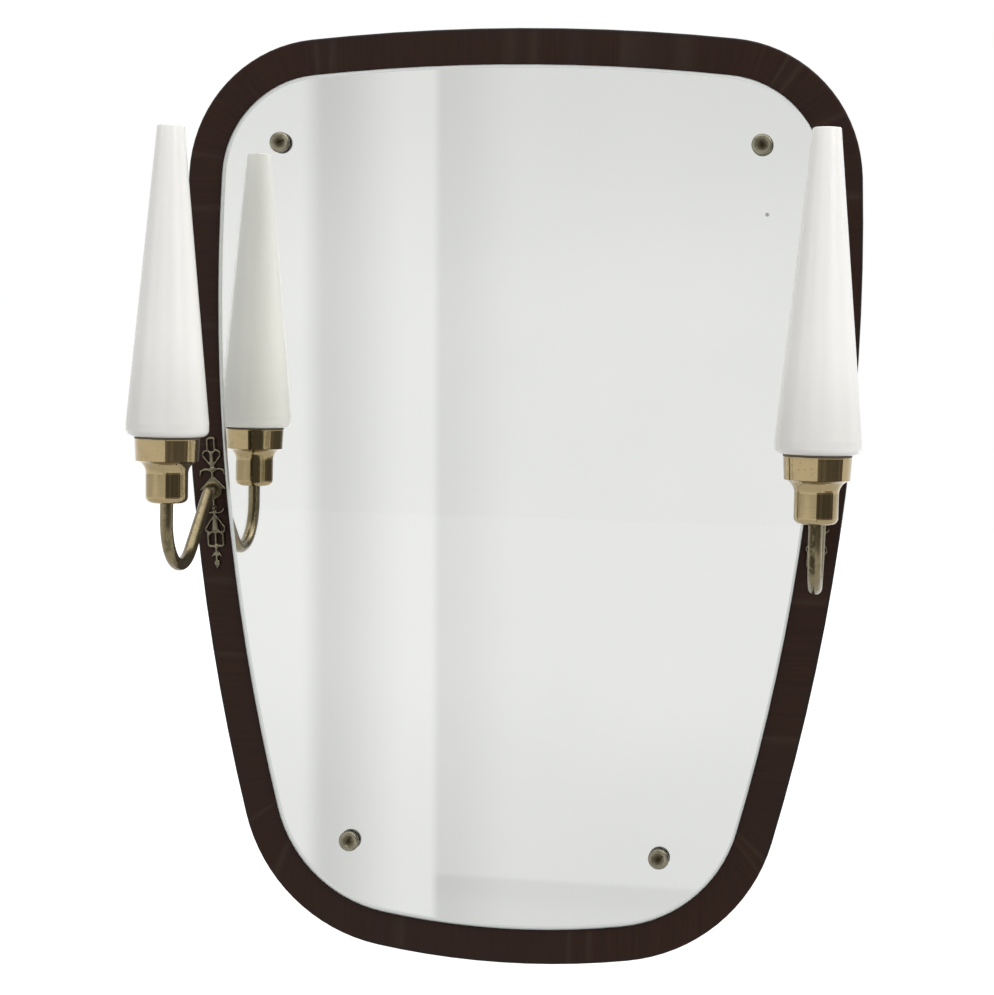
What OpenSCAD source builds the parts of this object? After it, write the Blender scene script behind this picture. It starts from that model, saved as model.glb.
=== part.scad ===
// Wall mirror on a veneered panel, with two brass sconces and opal glass shades.
// +Z is up, +X is the viewer's right and the front faces -Y.
// The origin lies on the wall, in the back face of the panel and at the middle of its height.

/* [Panel] */
// Height of the panel
panel_h = 670; // [600:5:740]
// Greatest width of the panel
panel_w = 487; // [460:1:520]
// Height of the widest place above the middle of the panel
widest_z = 158; // [130:2:170]
// Radius of the long arc along the top
top_r = 1500; // [1200:50:2000]
// Radius of the two top corners
top_corner_r = 100; // [80:2:120]
// Radius of the long arcs down the sides
side_r = 1550; // [1400:25:1800]
// Radius of the two bottom corners
bottom_corner_r = 124; // [100:2:140]
// Radius of the arc along the bottom
bottom_r = 585; // [500:5:700]
// Thickness of the veneered board
panel_t = 16; // [15:0.5:20]
// Radius of the rounded front edge
panel_edge_r = 1.6; // [1:0.2:3]
// Chamfer along the back edge
back_chamfer = 0.6; // [0.3:0.1:1.5]

/* [Mirror glass] */
// Width of the wooden border round the glass
border = 26; // [23:1:34]
// Thickness of the glass
glass_t = 4; // [3:0.5:6]
// Width of the ground edge, seen from the front
glass_bevel_w = 1.8; // [1:0.2:4]
// Depth of the ground edge
glass_bevel_d = 1; // [0.5:0.1:1.5]
// Distance of the top fixings in from the panel's widest place
top_fix_in = 71.1; // [62:0.1:90]
// Distance of the top fixings below the panel's top
top_fix_down = 81.5; // [75:0.5:105]
// Distance of the bottom fixings in from the panel's widest place
bottom_fix_in = 130.5; // [124:0.5:150]
// Distance of the bottom fixings above the panel's lowest point
bottom_fix_up = 84; // [78:1:105]
// Diameter of the holes in the glass
glass_hole_d = 7; // [6:0.5:9]

/* [Glass fixings] */
// Diameter of the turned rosette
rosette_d = 15; // [13:0.5:20]
// Height of the rosette
rosette_h = 3.4; // [2.6:0.2:5]
// Diameter of the screw head
fix_head_d = 8.2; // [7:0.2:9]
// Diameter of the screw shank
fix_shank_d = 3.6; // [3:0.2:4]
// Length of the screw below its head
fix_shank_l = 16; // [12:1:17]
// Wall of the rubber sleeve in each hole of the glass
sleeve_t = 1.2; // [0.8:0.1:1.3]

/* [Sconce arm] */
// Distance of each sconce's axis out from the edge of the glass
sconce_out = 10.3; // [10.2:0.1:11]
// Height of the arm's fixing above the middle
sconce_z = 2; // [-20:1:30]
// Distance of the cup's axis in front of the panel
arm_reach = 110; // [95:1:130]
// Drop from the fixing to the lowest point of the arm's centre line
arm_drop = 48; // [42:1:60]
// Diameter of the arm
arm_d = 9; // [8:0.2:10]
// Bore through the arm for its leads
arm_bore_d = 5.6; // [4:0.2:5.8]
// Radius of the large bend, at the centre line
u_bend_r = 33; // [26:1:36]
// Radius of the small bend at the panel, at the centre line
hook_r = 12; // [8:1:14]
// Straight length between the panel and the small bend
hook_l = 6.5; // [5:0.5:9]
// Diameter of the collar that presses on the backplate
collar_d = 12.6; // [11:0.2:14]
// Thickness of that collar
collar_t = 1.6; // [1:0.2:2.4]
// Diameter of the thread at both ends of the arm
thread_d = 8; // [7:0.2:8.4]
// Depth of the recess for the nut in the back of the panel
nut_recess = 8; // [7.6:0.2:10]
// Diameter of that recess
nut_recess_d = 24; // [22:1:30]
// Diameter of the washer behind the panel
washer_d = 20; // [16:1:21]
// Thickness of that washer
washer_t = 1.5; // [1:0.1:2]
// Width across the corners of the nuts
nut_d = 15; // [13:0.5:17]
// Height of the nuts
nut_h = 4; // [3:0.2:4.6]

/* [Backplate] */
// Thickness of the pierced backplate
plate_t = 2.2; // [1.6:0.2:3]
// Lean of the backplate, following the panel's side, in degrees
plate_lean = 4; // [0:0.5:8]
// Width of the ribbons and stems
strand_w = 2; // [1.4:0.1:2.2]
// Height of the top of the bow above the fixing
bow_top = 38.6; // [36:0.2:44]
// Depth of the tip of the drop below the fixing
drop_tip = 58.6; // [56:0.2:64]
// Diameter of the heads of the two pins
pin_head_d = 3.4; // [2.6:0.2:4]
// Diameter of the pins
pin_d = 1.6; // [1.2:0.1:2]
// Length of the pins in the wood
pin_l = 9; // [6:1:12]

/* [Cup] */
// Height of the cup's floor above the fixing
cup_z = -3; // [-8:1:6]
// Diameter of the lower cup
cup_d = 28.9; // [28.5:0.1:32]
// Height of the lower cup
cup_h = 20.1; // [18:0.1:23]
// Radius of its bottom corner
cup_corner_r = 4.5; // [3:0.5:6]
// Radius of the cove between cup and ring
cove_r = 9; // [8.5:0.5:13]
// Diameter of the ring at its lower edge
ring_low_d = 43; // [42.6:0.1:45]
// Diameter of the ring at its rim
ring_top_d = 44.4; // [43.6:0.1:47]
// Height of the ring
ring_h = 15.4; // [13:0.1:20]
// Thickness of the spun brass
cup_t = 0.8; // [0.6:0.1:1.2]
// Radius of the bead rolled along the rim
rim_r = 0.5; // [0.3:0.1:0.7]

/* [Shade] */
// Height of the glass above its seat
shade_h = 210.5; // [180:0.5:240]
// Greatest diameter of the shade
shade_d = 56.5; // [54:0.5:64]
// Diameter of the shade at its open top
shade_top_d = 18.5; // [16:0.5:26]
// Height of the greatest diameter above the seat
shoulder_z = 9; // [6.6:0.2:14]
// Radius of the rounded bottom edge
shoulder_r = 5; // [3:0.5:6]
// Thickness of the glass
shade_t = 2.6; // [2:0.1:3]
// Diameter of the neck inside the cup
neck_d = 39.2; // [38:0.1:39.4]
// Length of the neck below the seat
neck_l = 12; // [8:0.5:14]
// Thickness of the rubber ring under the glass
seat_t = 0.8; // [0.6:0.1:2]
// Length of the lip of that ring inside the cup
seat_lip = 4; // [2:0.5:6]

/* [Lamp] */
// Diameter of the lampholder
holder_d = 24; // [22:0.5:25]
// Height of the lampholder
holder_h = 46; // [42:1:50]
// Diameter of the lampholder's foot
holder_foot_d = 17; // [14:0.5:20]
// Diameter of the screw cap of the bulb
cap_d = 13.9; // [13:0.1:14]
// Length of the screw cap
cap_l = 24; // [20:1:26]
// Diameter of the bulb
bulb_d = 25; // [20:1:28]
// Length of the whole bulb
bulb_l = 85; // [70:1:95]
// Gap between the lampholder's rim and the swell of the bulb
swell_gap = 0.6; // [0.4:0.1:2]

/* [Back fittings] */
// Distance of the keyhole hangers from the middle line
hanger_x = 120; // [90:1:140]
// Distance of the hangers below the panel's top
hanger_down = 99; // [85:1:135]
// Length of a hanger plate
hanger_w = 46; // [42:1:54]
// Height of a hanger plate
hanger_h = 18; // [18:1:24]
// Thickness of a hanger plate
hanger_t = 1.5; // [1:0.1:2]
// Diameter of the keyhole's entry
key_entry_d = 9; // [8:0.5:9.5]
// Width of the keyhole's slot
key_slot_w = 4.6; // [4:0.2:5]
// Rise from the entry to the top of the slot
key_rise = 5.5; // [5:0.5:6]
// Depth of the pocket that takes the wall screw's head
key_pocket = 9; // [8:0.5:11]
// Length of the terminal block
block_w = 30; // [26:1:36]
// Height of the terminal block
block_h = 16; // [14:1:20]
// Depth of the terminal block
block_t = 9; // [8:0.5:10]
// Width of the groove for the leads
groove_w = 8; // [6:0.5:10]
// Depth of that groove
groove_d = 7; // [5:0.5:9]

/* [Fits] */
// Gap round a shank or pin in its hole
pin_gap = 0.1; // [0.05:0.05:0.2]
// Gap round a threaded end in its hole
thread_gap = 0.2; // [0.1:0.05:0.4]
// Gap between a fitting and its recess in the wood
recess_gap = 0.5; // [0.3:0.1:1]
// Gap between the glass shade and its seat
seat_gap = 0.3; // [0.2:0.1:0.5]
// Gap round the shade's neck
neck_gap = 0.5; // [0.4:0.1:0.8]

/* [Hidden] */

$fn = 64;
// Overlap that lets a cut pass clean through a face
through = 1;
wood = "#38251f";
brass = "#b3935a";
dark_brass = "#8b7443";
opal = "#f4f3ee";
silver = "#dfe3e2";
steel = "#a9abad";
rubber = "#2b2724";
bakelite = "#1d1a18";
clear_glass = "#dcebea";
cream = "#e9e4d6";

// The right-hand point where a circle round a, of radius ra, meets one round b, of radius rb
function meet(a, ra, b, rb) =
  let (d = norm(b - a), along = (ra * ra - rb * rb + d * d) / (2 * d),
       up = sqrt(ra * ra - along * along), u = (b - a) / d)
  let (p = a + along * u + up * [-u[1], u[0]], q = a + along * u - up * [-u[1], u[0]])
  p[0] > q[0] ? p : q;
// Direction from a to b, in degrees from +X
function bearing(a, b) = atan2(b[1] - a[1], b[0] - a[0]);
// Points along an arc round c, from angle a to angle b
function arc(c, r, a, b, steps = 12) =
  [for (i = [0:steps]) let (t = a + (b - a) * i / steps) c + r * [cos(t), sin(t)]];

// A point at a share k along one of the arcs below, moved outwards by out
function on_arc(a, out, k) =
  let (t = a[2] + (a[3] - a[2]) * k) a[0] + (a[1] + out) * [cos(t), sin(t)];

// The outline is a ring of arcs that touch without a corner: each corner circle
// lies inside the two long arcs that it joins.
top_c = [0, panel_h / 2 - top_r];
bottom_c = [0, bottom_r - panel_h / 2];
side_c = [panel_w / 2 - side_r, widest_z];
top_corner_c = meet(top_c, top_r - top_corner_r, side_c, side_r - top_corner_r);
bottom_corner_c = meet(bottom_c, bottom_r - bottom_corner_r, side_c, side_r - bottom_corner_r);
top_a = bearing(top_c, top_corner_c);
shoulder_a = bearing(side_c, top_corner_c);
flank_a = bearing(side_c, bottom_corner_c);
bottom_a = bearing(bottom_c, bottom_corner_c);
// Centre, radius, first angle and last angle of each arc of the right half, anticlockwise
right_arcs = [
  [bottom_c, bottom_r, -90, bottom_a],
  [bottom_corner_c, bottom_corner_r, bottom_a, flank_a],
  [side_c, side_r, flank_a, shoulder_a],
  [top_corner_c, top_corner_r, shoulder_a, top_a],
  [top_c, top_r, top_a, 90]];
// Where two curved pieces join, one laps over the other by a little and stands a hair proud of it
hair = 0.02;
lap = 0.05;
function lap_angle(r) = lap / r * 180 / PI;
// Spare wood or glass round the outline on a rough blank, and the width of what cuts it off
blank_spare = 6;
cutter_w = 12;
// The rounded edge runs out into the face at a slight angle
round_end_a = 80;
round_run_out = 0.6;

face_y = -panel_t;
glass_y = face_y - glass_t;
top_fix_x = panel_w / 2 - top_fix_in;
top_fix_z = panel_h / 2 - top_fix_down;
bottom_fix_x = panel_w / 2 - bottom_fix_in;
bottom_fix_z = panel_h / 2 - bottom_fix_up;
hanger_z = panel_h / 2 - hanger_down;
glass_side_r = side_r - border;
sconce_x = side_c[0] + sqrt(pow(glass_side_r, 2) - pow(sconce_z - side_c[1], 2)) + sconce_out;
fixings = [[-top_fix_x, top_fix_z], [top_fix_x, top_fix_z],
  [-bottom_fix_x, -bottom_fix_z], [bottom_fix_x, -bottom_fix_z]];
// How far each screw's slot had turned when it came tight
slot_turns = [20, 105, 65, 40];
fix_cone_h = 2.2;
fix_seat_h = 0.9;
fix_slot_w = 1.2;
fix_slot_d = 1.1;
rosette_foot = 0.3;
crown_r = 2;
// How far a blind hole runs on past the screw or pin in it
hole_run = 1;
pilot_l = fix_shank_l - fix_seat_h - glass_t + hole_run;

// Screws in the back of the panel
screw_d = 3;
screw_head_d = 6;
screw_l = 10;
screw_cone = (screw_head_d - screw_d) / 2;
screw_slot_w = 0.8;
screw_slot_d = 0.6;
pan_head_h = 0.9;

// Keyhole hangers, from the middle of the plate
key_low = -key_rise / 2;
hanger_margin = 6;
hanger_hole_x = hanger_w / 2 - hanger_margin;
hanger_holes = [-hanger_hole_x, hanger_hole_x];

// The leads run in a groove just above the arms, to a pocket with the terminal block
groove_z = sconce_z + groove_w;
finger_room = 4;
block_pocket_w = block_w + 2 * finger_room;
block_pocket_h = block_h + 2 * finger_room;
block_pocket_t = block_t + 1;
block_z = groove_z - groove_w / 2 + block_pocket_h / 2;
block_bite = 4;
wire_hole_x = block_w / 4;
wire_hole_d = 4.4;
clamp_d = 4;
clamp_sink = 0.4;
clamp_rows = [-block_h / 4, block_h / 4];

// Heights in the backplate's ornament, from the fixing
knot_z = 15;
bead_z = -13.6;
husk_z = -18;
cradle_z = -41.4;
cradle_x = 5.6;
bow_x = 2.7;
corner_r = 1.6;
loop_w = strand_w * 0.85;
drop_z = drop_tip - 4.8;
plate_boss_d = collar_d + 1.2;
roof_z = plate_boss_d / 2 + 1.8;
pin_spots = [[0, knot_z], [0, cradle_z]];

// Side view of the arm, X out from the panel's face and Y up from the fixing
u_c = [arm_reach - u_bend_r, u_bend_r - arm_drop];
hook_c = [hook_l, -hook_r];
span = u_c - hook_c;
dip_a = atan2(span[0], span[1]) - acos((u_bend_r + hook_r) / norm(span));
limb_a = hook_c + hook_r * [sin(dip_a), cos(dip_a)];
limb_b = u_c - u_bend_r * [sin(dip_a), cos(dip_a)];
limb_l = norm(limb_b - limb_a);
web_t = panel_t - nut_recess;
thread_end = 1;
tail_l = web_t + washer_t + nut_h + thread_end;
cup_nut_z = cup_z + cup_t;
holder_z = cup_nut_z + nut_h;
thread_grip = 7;
top_thread_l = holder_z + thread_grip - cup_z;

// Cup, heights above its floor
cove_a = acos(1 - (ring_low_d - cup_d) / 2 / cove_r);
ring_z = cup_h + cove_r * sin(cove_a);
ring_edge = 0.3;
rim_z = ring_z + ring_h;
// Heights above the fixing
seat_z = cup_z + rim_z;
shade_z = seat_z + seat_t + seat_gap;
seat_in_r = neck_d / 2 + neck_gap;
lip_gap = 0.4;
lip_round = 0.6;
seat_proud = 0.2;

// Lampholder, heights above its foot
foot_h = 8;
foot_slope = 2;
body_round = 1;
web_top = 16;
shell_z = web_top + 1.4;
shell_in_r = cap_d / 2 + pin_gap;
shell_t = 0.6;
shell_sink = 2;
contact_h = 3;
spring_d = 10;
button_d = 4;
spring_t = 1;
cap_z = web_top + contact_h;
cap_tip_h = 2;
cap_tip_r = 2.4;
cap_shoulder_h = 3.5;
cap_wall = 0.4;
glass_wall = 0.8;
bulb_seat_l = 6;
bulb_neck_l = 9;

/* Outline and slabs */
module stand() {
  rotate([90, 0, 0]) children();
}

// A profile swept round c from angle a to angle b, with x = 0 of the profile at radius r
module swept(c, r, a, b) {
  translate([c[0], c[1], 0]) rotate([0, 0, a]) rotate_extrude(angle = b - a, $fn = 360)
    translate([r, 0]) children();
}

// The child, a profile with x = 0 at the edge, swept along the whole outline. The long arcs lap
// over the corners, which are a hair smaller, so that the joints close cleanly.
module along_outline(inset) {
  top_lap = lap_angle(top_r);
  side_lap = lap_angle(side_r);
  bottom_lap = lap_angle(bottom_r);
  swept(top_c, top_r - inset, top_a - top_lap, 180 - top_a + top_lap) children();
  swept(bottom_c, bottom_r - inset, -180 - bottom_a - bottom_lap, bottom_a + bottom_lap) children();
  for (side = [0, 1]) mirror([side, 0, 0]) {
    swept(side_c, side_r - inset, flank_a - side_lap, shoulder_a + side_lap) children();
    swept(top_corner_c, top_corner_r - inset - hair, shoulder_a, top_a) children();
    swept(bottom_corner_c, bottom_corner_r - inset - hair, bottom_a, flank_a) children();
  }
}

// A board of the outline's shape from z = 0 to z = t. The child is the profile of what a cutter
// takes off along the edge of a rough blank.
module board(inset, t) {
  half = concat([for (a = right_arcs) for (k = [0:0.1:0.95]) on_arc(a, blank_spare - inset, k)],
    [on_arc(right_arcs[len(right_arcs) - 1], blank_spare - inset, 1)]);
  difference() {
    linear_extrude(t) polygon(concat(half, [for (i = [len(half) - 2:-1:1]) [-half[i][0], half[i][1]]]));
    along_outline(inset) children();
  }
}

module hole_at(p, d, y, l) {
  translate([p[0], y, p[1]]) rotate([90, 0, 0]) cylinder(d = d, h = l);
}

/* Panel */
module panel() {
  color(wood) difference() {
    stand() board(0, panel_t) polygon(concat(
      [[cutter_w, -through], [-back_chamfer - through, -through], [0, back_chamfer]],
      arc([-panel_edge_r, panel_t - panel_edge_r], panel_edge_r, 0, round_end_a, 5),
      [[-panel_edge_r, panel_t - panel_edge_r] + panel_edge_r * [cos(round_end_a), sin(round_end_a)]
        + round_run_out * [-sin(round_end_a), cos(round_end_a)],
       [cutter_w, panel_t + through]]));
    for (p = fixings) hole_at(p, fix_shank_d + 2 * pin_gap, face_y + pilot_l, pilot_l + through);
    for (s = [-1, 1]) {
      hole_at([s * sconce_x, sconce_z], thread_d + 2 * thread_gap, through, panel_t + 2 * through);
      hole_at([s * sconce_x, sconce_z], nut_recess_d, through, nut_recess + through);
      for (p = pin_spots) at_plate(s)
        hole_at(p, pin_d + 2 * pin_gap, pin_l + hole_run, pin_l + hole_run + through);
      hanger_recess(s);
    }
    translate([-block_pocket_w / 2, -block_pocket_t, block_z - block_pocket_h / 2])
      cube([block_pocket_w, block_pocket_t + through, block_pocket_h]);
    hole_at([0, block_z], screw_d + 2 * pin_gap, through, block_pocket_t + block_bite + through);
    translate([-sconce_x, -groove_d, groove_z - groove_w / 2])
      cube([2 * sconce_x, groove_d + through, groove_w]);
  }
}

module hanger_recess(s) {
  translate([s * hanger_x, 0, hanger_z]) {
    translate([-hanger_w / 2 - recess_gap, -hanger_t, -hanger_h / 2 - recess_gap])
      cube([hanger_w + 2 * recess_gap, hanger_t + through, hanger_h + 2 * recess_gap]);
    for (z = [key_low, key_low + key_rise])
      hole_at([0, z], key_entry_d + 2 * recess_gap, through, key_pocket + through);
    for (x = hanger_holes) hole_at([x, 0], screw_d + 2 * pin_gap, 0, screw_l + hole_run);
  }
}

/* Mirror glass and its fixings */
module mirror_glass() {
  color(silver) difference() {
    translate([0, face_y, 0]) stand() board(border, glass_t) polygon([
      [cutter_w, -through], [0, -through], [0, glass_t - glass_bevel_d],
      [-2 * glass_bevel_w, glass_t + glass_bevel_d], [cutter_w, glass_t + glass_bevel_d]]);
    for (p = fixings) hole_at(p, glass_hole_d, face_y + through, glass_t + 2 * through);
  }
}

// Turned pieces on a fixing stand on the glass, with their axis out of the wall
module on_glass(p) {
  translate([p[0], glass_y, p[1]]) rotate([90, 0, 0]) children();
}

module glass_rosettes() {
  hole_r = fix_shank_d / 2 + pin_gap;
  lip = fix_seat_h + fix_cone_h + pin_gap;
  color(brass) for (p = fixings) on_glass(p)
    rotate_extrude() polygon(concat(
      [[hole_r, 0], [rosette_d / 2 - rosette_foot, 0], [rosette_d / 2, rosette_foot]],
      arc([rosette_d / 2 - crown_r, rosette_h - crown_r], crown_r, 0, 90, 8),
      [[fix_head_d / 2 + pin_gap, lip], [hole_r, fix_seat_h]]));
}

module glass_screws() {
  head_r = fix_head_d / 2;
  shank_r = fix_shank_d / 2;
  color(dark_brass) for (i = [0:3]) on_glass(fixings[i]) difference() {
    union() {
      translate([0, 0, fix_seat_h]) cylinder(r1 = shank_r, r2 = head_r, h = fix_cone_h);
      translate([0, 0, -fix_shank_l + fix_seat_h]) cylinder(r = shank_r, h = fix_shank_l);
    }
    rotate([0, 0, slot_turns[i]])
      translate([-fix_head_d, -fix_slot_w / 2, fix_seat_h + fix_cone_h - fix_slot_d])
        cube([2 * fix_head_d, fix_slot_w, fix_slot_d + through]);
  }
}

module glass_sleeves() {
  out_r = glass_hole_d / 2 - pin_gap;
  color(rubber) for (p = fixings) translate([p[0], face_y, p[1]]) rotate([90, 0, 0]) difference() {
    cylinder(r = out_r, h = glass_t);
    translate([0, 0, -through]) cylinder(r = out_r - sleeve_t, h = glass_t + 2 * through);
  }
}

/* Hangers and terminal block in the back of the panel */
module hanger(s) {
  color(steel) translate([s * hanger_x, 0, hanger_z]) difference() {
    translate([-hanger_w / 2, -hanger_t, -hanger_h / 2]) cube([hanger_w, hanger_t, hanger_h]);
    hole_at([0, key_low], key_entry_d, through, hanger_t + 2 * through);
    hole_at([0, key_low + key_rise], key_slot_w, through, hanger_t + 2 * through);
    translate([-key_slot_w / 2, -hanger_t - through, key_low])
      cube([key_slot_w, hanger_t + 2 * through, key_rise]);
    for (x = hanger_holes) hole_at([x, 0], screw_d + 2 * pin_gap, through, hanger_t + 2 * through);
    for (x = hanger_holes) translate([x, 0, 0]) rotate([90, 0, 0])
      cylinder(d1 = screw_head_d + 2 * pin_gap, d2 = screw_d + 2 * pin_gap, h = screw_cone);
  }
}

// A countersunk screw driven from the back towards the front, its head flush at y = 0
module back_screw(l) {
  rotate([90, 0, 0]) difference() {
    union() {
      cylinder(d1 = screw_head_d, d2 = screw_d, h = screw_cone);
      cylinder(d = screw_d, h = l);
    }
    translate([-screw_head_d, -screw_slot_w / 2, -through])
      cube([2 * screw_head_d, screw_slot_w, screw_slot_d + through]);
  }
}

module hanger_screws() {
  color(steel) for (s = [-1, 1]) for (x = hanger_holes)
    translate([s * hanger_x + x, 0, hanger_z]) back_screw(screw_l);
}

module terminal_block() {
  color(cream) translate([0, -block_pocket_t, block_z]) difference() {
    translate([-block_w / 2, 0, -block_h / 2]) cube([block_w, block_t, block_h]);
    hole_at([0, 0], screw_d + 2 * pin_gap, block_t + through, block_t + 2 * through);
    for (s = [-1, 1]) {
      translate([s * wire_hole_x, block_t / 2, -block_h]) cylinder(d = wire_hole_d, h = 2 * block_h);
      for (z = clamp_rows) hole_at([s * wire_hole_x, z], clamp_d + 2 * pin_gap, block_t + through,
        block_t / 2 + through);
    }
  }
}

module terminal_screws() {
  head_y = block_t - clamp_sink;
  color(steel) translate([0, -block_pocket_t, block_z]) for (s = [-1, 1]) for (z = clamp_rows)
    difference() {
      hole_at([s * wire_hole_x, z], clamp_d, head_y, head_y - block_t / 2);
      translate([s * wire_hole_x - clamp_d, head_y - screw_slot_d, z - screw_slot_w / 2])
        cube([2 * clamp_d, screw_slot_d + through, screw_slot_w]);
    }
}

module block_screw() {
  color(steel) translate([0, block_t - block_pocket_t, block_z])
    difference() {
      union() {
        hole_at([0, 0], screw_head_d, pan_head_h, pan_head_h);
        hole_at([0, 0], screw_d, 0, block_t + block_bite - hole_run);
      }
      translate([-screw_head_d, pan_head_h - screw_slot_d, -screw_slot_w / 2])
        cube([2 * screw_head_d, screw_slot_d + through, screw_slot_w]);
    }
}

/* Pierced backplate: a ribbon bow over a leaf drop, drawn in x and z from the fixing */
module at_sconce(s) {
  translate([s * sconce_x, face_y, sconce_z]) children();
}

module at_plate(s) {
  at_sconce(s) rotate([0, s * plate_lean, 0]) children();
}

// An arc of ribbon with round ends
module ribbon(c, r, a, b, w = strand_w) {
  translate(c) {
    intersection() {
      difference() {
        circle(r + w / 2);
        circle(r - w / 2);
      }
      polygon(concat([[0, 0]], arc([0, 0], 2 * r + w, a, b, 8)));
    }
    for (t = [a, b]) translate(r * [cos(t), sin(t)]) circle(w / 2 + hair);
  }
}

// A straight stem with round ends
module stem(a, b, w = strand_w) {
  d = norm(b - a);
  translate(a) rotate(bearing(a, b)) {
    translate([0, -w / 2]) square([d, w]);
    for (x = [0, d]) translate([x, 0]) circle(w / 2 + hair);
  }
}

// A leaf-shaped outline: a circle at c drawn out to a point at tip
module leaf(tip, c, r) {
  d = norm(c - tip);
  k = acos(r / d);
  out = bearing(c, tip);
  union() {
    translate(c) circle(r + hair);
    polygon([tip, c + r * [cos(out + k), sin(out + k)], c, c + r * [cos(out - k), sin(out - k)]]);
  }
}

// The same outline as an open loop of strand
module leaf_loop(tip, c, r) {
  difference() {
    leaf(tip, c, r);
    leaf(c + (tip - c) * (1 - loop_w * 2.2 / norm(tip - c)), c, r - loop_w);
  }
}

// Two strands at right angles with a rounded corner, from a on the centre line out to x and on to b
module bent_strand(x, a, b) {
  up = sign(b - a);
  bend = [x - corner_r, a + up * corner_r];
  stem([0, a], [bend[0], a]);
  ribbon(bend, corner_r, up > 0 ? -90 : 0, up > 0 ? 0 : 90);
  stem([x, bend[1]], [x, b]);
}

module half_ornament() {
  bent_strand(bow_x, bow_top - strand_w / 2, bow_top - 10);
  leaf_loop([0.6, knot_z + 1], [3.7, bow_top - 13], 3.7);
  ribbon([4.8, knot_z - 6.6], 6.4, 52, 128);
  stem([8.6, knot_z - 1.6], [9.2, knot_z - 4], strand_w * 0.8);
  stem([0.6, roof_z], [8, roof_z - 7.6]);
  stem([8, roof_z - 7.6], [9.2, roof_z - 8.4], strand_w * 0.8);
  ribbon([3, husk_z + 5.4], 4.4, -110, -25, strand_w * 0.8);
  leaf_loop([0.6, husk_z], [4.4, husk_z - 10.8], 3.5);
  stem([0, husk_z - 13.2], [3.2, husk_z - 13.2], strand_w * 0.8);
  translate([5, husk_z - 13.8]) circle(1.6);
  bent_strand(cradle_x, cradle_z, husk_z - 14.6);
  leaf([4.8, cradle_z - 8.4], [1.3, cradle_z - 5.6], 1.3);
}

module ornament_2d() {
  half_ornament();
  mirror([1, 0]) half_ornament();
  stem([0, bow_top - 11.4], [0, knot_z]);
  translate([0, knot_z]) circle(2.4);
  stem([0, knot_z], [0, 0], strand_w * 1.2);
  circle(d = plate_boss_d);
  stem([0, 0], [0, -drop_z], strand_w * 1.1);
  translate([0, bead_z]) circle(1.9);
  translate([0, cradle_z]) circle(2);
  leaf([0, -drop_tip], [0, -drop_z], 2.3);
}

module backplate(s) {
  color(dark_brass) at_plate(s) difference() {
    union() {
      rotate([90, 0, 0]) linear_extrude(plate_t) ornament_2d();
      rotate([90, 0, 0]) translate([0, bead_z, plate_t]) sphere(1.5, $fn = 32);
    }
    hole_at([0, 0], thread_d + 2 * thread_gap, through, plate_t + 2 * through);
    for (p = pin_spots) hole_at(p, pin_d + 2 * pin_gap, through, plate_t + 2 * through);
  }
}

module plate_pins(s) {
  color(brass) at_plate(s) for (p = pin_spots) {
    hole_at(p, pin_d, pin_l, pin_l + plate_t);
    translate([p[0], -plate_t, p[1]]) rotate([90, 0, 0]) intersection() {
      cylinder(d = pin_head_d, h = pin_head_d);
      translate([0, 0, -pin_head_d * 0.2]) sphere(d = pin_head_d * 1.15, $fn = 48);
    }
  }
}

/* Arm: a tube with two bends, threaded at both ends */
module side_view() {
  rotate([0, 0, -90]) rotate([90, 0, 0]) children();
}

// A straight length of tube from p along angle a
module run(p, a, l, d, bore = arm_bore_d) {
  translate([p[0], p[1], 0]) rotate([0, 0, a]) rotate([0, 90, 0]) difference() {
    cylinder(d = d, h = l);
    translate([0, 0, -through]) cylinder(d = bore, h = l + 2 * through);
  }
}

// A bend in that tube round c, from angle a to angle b. It is drawn a hair slimmer than the
// straight lengths, which lap over its ends, so that the joints close cleanly at any angle.
module bend(c, r, a, b) {
  translate([c[0], c[1], 0]) rotate([0, 0, a]) rotate_extrude(angle = b - a, $fn = 96)
    translate([r, 0]) difference() {
      circle(d = arm_d - 2 * hair, $fn = 48);
      circle(d = arm_bore_d + 2 * hair, $fn = 48);
    }
}

module arm(s) {
  lap_a = limb_a - lap * [cos(dip_a), -sin(dip_a)];
  color(dark_brass) at_sconce(s) side_view() {
    run([-tail_l, 0], 0, tail_l + plate_t, thread_d);
    run([plate_t, 0], 0, collar_t, collar_d);
    run([plate_t + collar_t, 0], 0, hook_l - plate_t - collar_t + lap, arm_d);
    bend(hook_c, hook_r, 90 - dip_a, 90);
    run(lap_a, -dip_a, limb_l + 2 * lap, arm_d);
    bend(u_c, u_bend_r, -90 - dip_a, 0);
    run([arm_reach, u_c[1] - lap], 90, cup_z - u_c[1] + lap, arm_d);
    run([arm_reach, cup_z], 90, top_thread_l, thread_d);
  }
}

module arm_washer(s) {
  color(steel) at_sconce(s) side_view()
    run([-web_t - washer_t, 0], 0, washer_t, washer_d, thread_d + 2 * thread_gap);
}

module hex_nut(h) {
  difference() {
    cylinder(d = nut_d, h = h, $fn = 6);
    translate([0, 0, -through]) cylinder(d = thread_d + 2 * pin_gap, h = h + 2 * through);
  }
}

module arm_nut(s) {
  color(steel) at_sconce(s) translate([0, web_t + washer_t, 0]) rotate([-90, 0, 0]) hex_nut(nut_h);
}

/* Cup and the shade's seat, turned about the cup's axis */
module on_cup(s) {
  at_sconce(s) translate([0, -arm_reach, 0]) children();
}

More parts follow.
